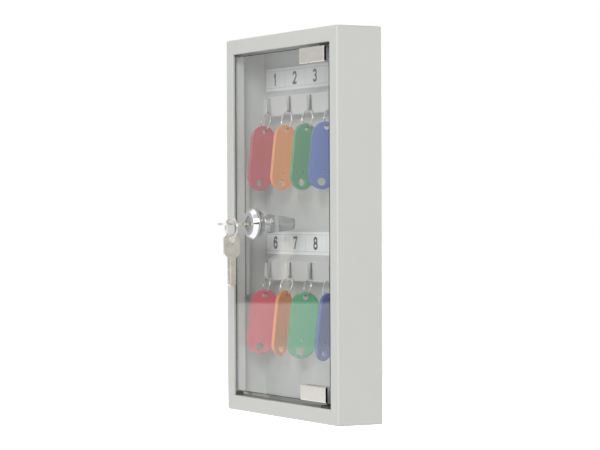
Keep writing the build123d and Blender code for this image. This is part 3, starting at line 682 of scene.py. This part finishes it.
# ---------------------------------------------------------------- lock
# A cam lock through a hole in the glass: polished chrome housing and plug, a soft washer on
# each side of the pane, a zinc plated nut and a cam held by a washer and a screw.
lock_chrome = brushed(
    "lock_chrome", paint(204, 205, 206), 0.06, even(0.6 * mm), 0.0006 * mm, shade=0.06, spread=0.06,
)
plug_metal = brushed(
    "plug_metal", paint(166, 165, 162), 0.24, (0.3 * mm, 0.3 * mm, 2.5 * mm), 0.002 * mm,
)
satin_zinc = brushed(
    "satin_zinc", paint(150, 151, 151), 0.5, (6 * mm, 0.3 * mm, 0.3 * mm), 0.004 * mm,
)
pale_washer = grained(
    "pale_washer", paint(205, 207, 208), 0.32, mottle=0.05, patch=0.005, grain=0.4 * mm,
    depth=0.006 * mm, Transmission_Weight=0.3, IOR=1.46,
)
grey_washer = grained(
    "grey_washer", paint(140, 142, 143), 0.45, mottle=0.08, patch=0.005, grain=0.4 * mm,
    depth=0.006 * mm,
)
dress(lock_chrome, "lock_housing")
dress(plug_metal, "lock_plug")
dress(pale_washer, "lock_washer_front")
dress(grey_washer, "lock_washer_rear")
dress(zinc_plate, "lock_nut", "cam_washer", "cam_screw")
dress(satin_zinc, "lock_cam")

# The barrel is threaded on its two round sides, from the nut to its end.
thread_tree, thread_given = geometry_tree(
    "thread_ridges",
    [
        ("Radius", "Float", 0.008),
        ("Half Angle", "Float", radians(50)),
        ("Pitch", "Float", 0.001),
        ("Ridges", "Int", 7),
        ("Ridge Size", "Float", 0.0003),
        ("Metal", "Material", None),
    ],
)
ridge_steps = 24
ridge_sides = 3


def build_thread_tree():
    """One arc with a three-sided section, repeated along Z and on both sides."""
    tree, given = thread_tree, thread_given
    path = wired(
        tree, "GeometryNodeCurveArc",
        {
            "Resolution": ridge_steps,
            "Radius": given["Radius"],
            "Start Angle": maths(tree, "MULTIPLY", given["Half Angle"], -1.0),
            "Sweep Angle": maths(tree, "MULTIPLY", given["Half Angle"], 2.0),
        },
    ).outputs["Curve"]
    section = wired(
        tree, "GeometryNodeCurvePrimitiveCircle",
        {"Resolution": ridge_sides, "Radius": given["Ridge Size"]},
    ).outputs["Curve"]
    ridge = wired(
        tree, "GeometryNodeCurveToMesh", {"Curve": path, "Profile Curve": section, "Fill Caps": True},
    ).outputs["Mesh"]
    opposite = wired(
        tree, "GeometryNodeTransform", {"Geometry": ridge, "Rotation": (0.0, 0.0, radians(180))},
    ).outputs["Geometry"]
    along = wired(
        tree, "GeometryNodeMeshLine",
        {"Count": given["Ridges"], "Offset": vector(tree, 0.0, 0.0, given["Pitch"])},
    ).outputs["Mesh"]
    copies = wired(
        tree, "GeometryNodeInstanceOnPoints",
        {"Points": along, "Instance": joined(tree, ridge, opposite)},
    ).outputs["Instances"]
    end_tree(tree, copies, given["Metal"])


build_thread_tree()
thread_pitch = 1.0 * mm
thread_size = 0.28 * mm
thread_radius = 7.9 * mm
nut_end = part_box("lock_nut")[1].y
barrel_low, barrel_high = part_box("lock_housing")
threaded = barrel_high.y - nut_end - thread_size
thread = grow(
    thread_tree, "barrel_thread", Radius=thread_radius, Pitch=thread_pitch,
    Ridges=int(threaded / thread_pitch), Ridge_Size=thread_size, Metal=lock_chrome,
)
lock_middle = (barrel_low + barrel_high) / 2
thread_start = Vector((lock_middle.x, nut_end + thread_pitch / 2, lock_middle.z))
thread.transform(Matrix.Translation(thread_start) @ Matrix.Rotation(radians(-90), 4, "X"))
add_piece("barrel_thread", thread, "door")

# ---------------------------------------------------------------- keys
# Two flat keys of nickel plated brass, stamped, milled and tumbled, one of them in the lock.
# Fine streaks run along each of them.
key_colour = paint(232, 226, 216)
streak_length = 5 * mm
streak_width = 0.15 * mm
for way, key, streak in (
    ("across", "key_in_lock", (streak_width, streak_length, streak_width)),
    ("along", "spare_key", (streak_width, streak_width, streak_length)),
):
    dress(brushed(f"key_nickel_{way}", key_colour, 0.21, streak, 0.003 * mm), key)

# ---------------------------------------------------------------- split rings
# Two turns of flat spring wire, crossed over beside their ends. One holds the keys, and each
# tag hangs from one on its hook.
ring_wire = brushed("ring_wire", paint(204, 203, 200), 0.12, even(0.5 * mm), 0.001 * mm, shade=0.1)
ring_tree, ring_given = geometry_tree(
    "split_ring",
    [
        ("Mean Radius", "Float", 0.0073),
        ("Strand Width", "Float", 0.001),
        ("Strand Height", "Float", 0.0006),
        ("Turns", "Float", 1.86),
        ("Crossing", "Float", 0.045),
        ("Steps", "Int", 64),
        ("Wire", "Material", None),
    ],
)
corner_share = 0.35             # rounding of the wire's corners, as a share of its height
corner_steps = 3


def build_ring_tree():
    """Flat spiral that steps from one turn to the next, swept with a rounded section."""
    tree, given = ring_tree, ring_given
    path = wired(
        tree, "GeometryNodeCurveSpiral",
        {
            "Resolution": given["Steps"],
            "Rotations": given["Turns"],
            "Start Radius": given["Mean Radius"],
            "End Radius": given["Mean Radius"],
            "Height": 0.0,
        },
    ).outputs["Curve"]
    step = wired(
        tree, "ShaderNodeMapRange",
        {
            "Value": tree.nodes.new("GeometryNodeSplineParameter").outputs["Factor"],
            "From Min": maths(tree, "MULTIPLY_ADD", given["Crossing"], -1.0, 0.5),
            "From Max": maths(tree, "MULTIPLY_ADD", given["Crossing"], 1.0, 0.5),
            "To Min": maths(tree, "MULTIPLY", given["Strand Height"], -0.5),
            "To Max": maths(tree, "MULTIPLY", given["Strand Height"], 0.5),
        },
        interpolation_type="SMOOTHSTEP",
    ).outputs["Result"]
    stepped = wired(
        tree, "GeometryNodeSetPosition", {"Geometry": path, "Offset": vector(tree, 0.0, 0.0, step)},
    ).outputs["Geometry"]
    upright = wired(tree, "GeometryNodeSetCurveNormal", {"Curve": stepped}, mode="Z_UP").outputs["Curve"]
    section = wired(
        tree, "GeometryNodeCurvePrimitiveQuadrilateral",
        {"Width": given["Strand Width"], "Height": given["Strand Height"]},
    ).outputs["Curve"]
    rounded = wired(
        tree, "GeometryNodeFilletCurve",
        {
            "Curve": section,
            "Count": corner_steps,
            "Radius": maths(tree, "MULTIPLY", given["Strand Height"], corner_share),
        },
        mode="POLY",
    ).outputs["Curve"]
    swept = wired(
        tree, "GeometryNodeCurveToMesh", {"Curve": upright, "Profile Curve": rounded, "Fill Caps": True},
    ).outputs["Mesh"]
    smooth = wired(tree, "GeometryNodeSetShadeSmooth", {"Geometry": swept}).outputs["Geometry"]
    end_tree(tree, smooth, given["Wire"])


build_ring_tree()


def flat_frame(node):
    """Middle and face normal of a flat CAD node, from its own faces."""
    low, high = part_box(node)
    normals = {}
    for face in nodes[node].data.polygons:
        key = tuple(round(abs(value), 2) for value in face.normal)
        area, first = normals.get(key, (0.0, face.normal.copy()))
        normals[key] = (area + face.area, first)
    normal = max(normals.values(), key=lambda pair: pair[0])[1].normalized()
    return (low + high) / 2, normal


def split_ring(name, node, body, opening, diameter, wire, thickness):
    """Split ring in place of a CAD ring; opening is the turn of its ends about its own axis."""
    middle, axis = flat_frame(node)
    mesh = grow(
        ring_tree, name, Mean_Radius=(diameter - wire) / 2, Strand_Width=wire,
        Strand_Height=thickness / 2, Wire=ring_wire,
    )
    turn = axis.to_track_quat("Z", "Y").to_matrix().to_4x4()
    mesh.transform(Matrix.Translation(middle) @ turn @ Matrix.Rotation(radians(opening), 4, "Z"))
    piece = add_piece(name, mesh, body)
    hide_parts(node)


tag_count = 8
tag_ring_diameter = 15.6 * mm
tag_ring_wire = 1.0 * mm
tag_ring_thickness = 1.2 * mm
key_ring_diameter = 17.0 * mm
key_ring_wire = 1.3 * mm
key_ring_thickness = 1.3 * mm
key_ring_opening = 200          # degrees round the ring to its ends
first_opening = 100             # and the same for the tags' rings,
opening_step = 40               # which turn on from one tag to the next
for number in range(1, tag_count + 1):
    split_ring(
        f"split_ring_{number}", f"tag_ring_{number}", f"hanging_tag_{number}",
        first_opening + opening_step * number, tag_ring_diameter, tag_ring_wire, tag_ring_thickness,
    )
split_ring(
    "key_split_ring", "key_ring", "ring", key_ring_opening, key_ring_diameter, key_ring_wire,
    key_ring_thickness,
)

# ---------------------------------------------------------------- key tags
# Moulded tags in four colours, smooth and slightly translucent. The label side holds a white
# card under a clear cover.


def tag_plastic(name, colour):
    """Glossy moulding with a little light going through it."""
    return grained(
        name, colour, 0.30, mottle=0.06, patch=0.02, grain=0.6 * mm, depth=0.006 * mm,
        Subsurface_Weight=0.12, Subsurface_Scale=0.002, Coat_Weight=0.15, Coat_Roughness=0.2,
    )


tag_plastics = [
    tag_plastic("tag_red", paint(190, 40, 58)),
    tag_plastic("tag_orange", paint(236, 146, 62)),
    tag_plastic("tag_green", paint(30, 148, 92)),
    tag_plastic("tag_blue", paint(46, 84, 164)),
]
card_paper = grained(
    "card_paper", paint(238, 237, 232), 0.6, mottle=0.03, patch=0.006, grain=0.25 * mm,
    depth=0.006 * mm, Coat_Weight=1.0, Coat_Roughness=0.08,
)
tag_thickness = 3.0 * mm
window_depth = 1.1 * mm
card_size = (15.2 * mm, 29.6 * mm, 0.6 * mm)
tag_lean = radians(6.3)
level_margin = 0.05 * mm        # how near a face lies to the window's floor to be part of it
facing_out = 0.99               # and how nearly it looks along the tag's own normal


def window_floor(number, middle, normal):
    """Corners of the floor of a tag's label window."""
    mesh = nodes[f"tag_{number}"].data
    corners = []
    for face in mesh.polygons:
        level = abs((face.center - middle).dot(normal))
        flat = abs(face.normal.dot(normal)) > facing_out
        if flat and abs(level - (tag_thickness / 2 - window_depth)) < level_margin:
            corners += [mesh.vertices[i].co for i in face.vertices]
    return corners


def tag_card(number):
    """White card with a clear film, laid in the label window of a tag."""
    middle, normal = flat_frame(f"tag_{number}")
    corners = window_floor(number, middle, normal)
    out = normal if (corners[0] - middle).dot(normal) > 0 else -normal
    hanging = Vector((0, sin(tag_lean), cos(tag_lean)))
    along = (hanging - out * hanging.dot(out)).normalized()
    heights = [(corner - middle).dot(along) for corner in corners]
    card_level = tag_thickness / 2 - window_depth + card_size[2] / 2
    place = middle + along * (min(heights) + max(heights)) / 2 + out * card_level
    card_mesh = bpy.data.meshes.new(f"tag_card_{number}")
    shape = bmesh.new()
    bmesh.ops.create_cube(shape, size=1.0)
    bmesh.ops.scale(shape, vec=card_size, verts=shape.verts)
    shape.to_mesh(card_mesh)
    shape.free()
    turn = Matrix((along.cross(out), along, out)).transposed().to_4x4()
    card_mesh.transform(Matrix.Translation(place) @ turn)
    add_piece(f"tag_card_{number}", card_mesh, f"hanging_tag_{number}", card_paper)


for number in range(1, tag_count + 1):
    dress(tag_plastics[(number - 1) % len(tag_plastics)], f"tag_{number}")
    tag_card(number)

# ---------------------------------------------------------------- stage
# Plain pale floor and background with four soft boxes: one in front, the main one to the
# right, and two behind the cabinet, a weak one on the right and a strong one on the left.
scene = bpy.context.scene
scene.view_settings.view_transform = "Standard"
world = bpy.data.worlds.new("studio")
scene.world = world
world.use_nodes = True
room_light = 0.34
floor_lift = 0.80
floor_drop = 320 * mm
floor_size = 40.0
black = (0.0, 0.0, 0.0, 1.0)
white = (1.0, 1.0, 1.0, 1.0)


def seen_strength(tree, lift, base):
    """Strength of base, plus lift where a surface is seen, mirrored or looked at through glass."""
    path = tree.nodes.new("ShaderNodeLightPath").outputs
    seen = maths(tree, "MAXIMUM", path["Is Camera Ray"], path["Is Transmission Ray"])
    mirrored = maths(tree, "MAXIMUM", seen, path["Is Glossy Ray"])
    return maths(tree, "MULTIPLY_ADD", mirrored, lift, base)


def board(name, centre, aim, size, material):
    """Square stage board that faces a point."""
    mesh = bpy.data.meshes.new(name)
    half = size / 2
    corners = [(-half, -half, 0), (half, -half, 0), (half, half, 0), (-half, half, 0)]
    mesh.from_pydata(corners, [], [(0, 1, 2, 3)])
    mesh.materials.append(material)
    piece = bpy.data.objects.new(name, mesh)
    piece.location = centre
    piece.rotation_euler = (Vector(aim) - Vector(centre)).to_track_quat("Z", "Y").to_euler()
    scene.collection.objects.link(piece)
    return piece


def soft_box(name, centre, size, power):
    """Square area lamp that faces the cabinet."""
    lamp = bpy.data.lights.new(name, "AREA")
    lamp.shape = "RECTANGLE"
    lamp.size = lamp.size_y = size
    lamp.energy = power
    piece = bpy.data.objects.new(name, lamp)
    piece.location = centre
    piece.rotation_euler = (-Vector(centre)).to_track_quat("-Z", "Y").to_euler()
    scene.collection.objects.link(piece)


background = world.node_tree.nodes["Background"]
background.inputs["Color"].default_value = white
room_strength = seen_strength(world.node_tree, 1.0 - room_light, room_light)
world.node_tree.links.new(room_strength, background.inputs["Strength"])
floor_paint, floor_shader = new_material(
    "floor_paint", (0.86, 0.86, 0.86, 1.0), 0.9, Emission_Color=white, Specular_IOR_Level=0.0,
)
floor_strength = seen_strength(floor_paint.node_tree, floor_lift, 0.0)
floor_paint.node_tree.links.new(floor_strength, floor_shader.inputs["Emission Strength"])
board("floor", (0, 0, -floor_drop), (0, 0, 0), floor_size, floor_paint)
soft_box("front_box", (-0.6, -2.0, 1.4), size=1.2, power=12)
soft_box("key_box", (1.8, -1.4, 1.05), size=1.0, power=34.5)
soft_box("side_box", (1.45, 1.55, 0.2), size=1.6, power=4.5)
soft_box("rear_box", (-1.6, 1.6, 0.9), size=1.4, power=34)

# ---------------------------------------------------------------- camera
# A long lens from the right, just above the middle of the cabinet and level with it, less
# than two metres away.
image_width, image_height = 600, 450
focal_pixels = 2364.1
camera_place = Vector((1645.4, -873.5, 10.28)) * mm
azimuth, pitch, roll = radians(62.584), radians(0.314), radians(-0.236)
lens_data = bpy.data.cameras.new("camera")
lens_data.sensor_width = 36.0
lens_data.lens = lens_data.sensor_width * focal_pixels / image_width
lens_data.clip_start, lens_data.clip_end = 0.05, 100.0
camera = bpy.data.objects.new("camera", lens_data)
scene.collection.objects.link(camera)
ahead = Vector((-sin(azimuth) * cos(pitch), cos(azimuth) * cos(pitch), -sin(pitch)))
level = Vector((cos(azimuth), sin(azimuth), 0.0))
overhead = level.cross(ahead)
right = level * cos(roll) + overhead * sin(roll)
up = overhead * cos(roll) - level * sin(roll)
camera.matrix_world = Matrix.Translation(camera_place) @ Matrix((right, up, -ahead)).transposed().to_4x4()
scene.camera = camera

# ---------------------------------------------------------------- mirrored boards
# Painted reflections: boards seen only in mirror images stand for what the bright pieces mirror: the pane
# a grey wall with a pale table below it, the chrome a dark card beside the lamp and a bright one
# overhead.
board_distance = 1.5
board_size = 0.64
pane_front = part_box("glass_pane")[0].y
mirrored_camera = Vector((camera_place.x, 2 * pane_front - camera_place.y, camera_place.z))
mirrored_ahead = Vector((ahead.x, -ahead.y, ahead.z))
board_reach = (Vector((0, pane_front, 0)) - mirrored_camera).length + board_distance
board_middle = mirrored_camera + mirrored_ahead * board_reach
# image row and grey of each step of the board, from the bottom up
grey_steps = (
    (420, 1.15), (347, 1.15), (345, 1.0), (304, 1.0), (302, 0.30), (270, 0.46), (235, 0.62),
    (190, 0.76), (60, 0.80),
)


def glow(name, strength):
    """Board material that only gives off an even light."""
    return new_material(
        name, black, 1.0, Specular_IOR_Level=0.0, Emission_Color=white, Emission_Strength=strength,
    )[0]


def grey_wall():
    """Glow with the grey steps from top to bottom."""
    material = glow("mirror_board", 1.0)
    tree = material.node_tree
    scale = wired(
        tree, "ShaderNodeMapRange",
        {"Value": coordinates(tree)["Y"], "From Min": -board_size / 2, "From Max": board_size / 2},
    )
    ramp = wired(tree, "ShaderNodeValToRGB", {"Fac": scale.outputs["Result"]})
    shader = tree.nodes["Principled BSDF"]
    tree.links.new(ramp.outputs["Color"], shader.inputs["Emission Color"])
    elements = ramp.color_ramp.elements
    while len(elements) < len(grey_steps):
        elements.new(0.5)
    per_row = board_reach / focal_pixels / board_size
    for element, (row_number, grey) in zip(elements, grey_steps):
        element.position = 0.5 - (row_number - image_height / 2) * per_row
        element.color = (grey, grey, grey, 1.0)
    return material


def only_mirrored(piece):
    """Hides a board from all but mirror images; rays straight through glass pass it too."""
    tree = piece.active_material.node_tree
    path = tree.nodes.new("ShaderNodeLightPath").outputs
    mirrored = maths(tree, "GREATER_THAN", path["Glossy Depth"], 0.5)
    open_way = tree.nodes.new("ShaderNodeBsdfTransparent").outputs[0]
    lit = tree.nodes["Principled BSDF"].outputs[0]
    either = wired(tree, "ShaderNodeMixShader", {0: mirrored, 1: open_way, 2: lit})
    tree.links.new(either.outputs[0], tree.nodes["Material Output"].inputs["Surface"])
    piece.visible_camera = False
    piece.visible_diffuse = False
    piece.visible_shadow = False


dark_card, _ = new_material("dark_card", (0.03, 0.03, 0.032, 1.0), 1.0, Specular_IOR_Level=0.0)
only_mirrored(board("mirror_board", board_middle, mirrored_camera, board_size, grey_wall()))
only_mirrored(board("dark_card", (1.50, -1.25, 0.22), (0, 0, 0), 0.5, dark_card))
only_mirrored(board("bright_card", (-0.5, -0.4, 2.0), (0, 0, 0), 1.6, glow("bright_card", 1.7)))
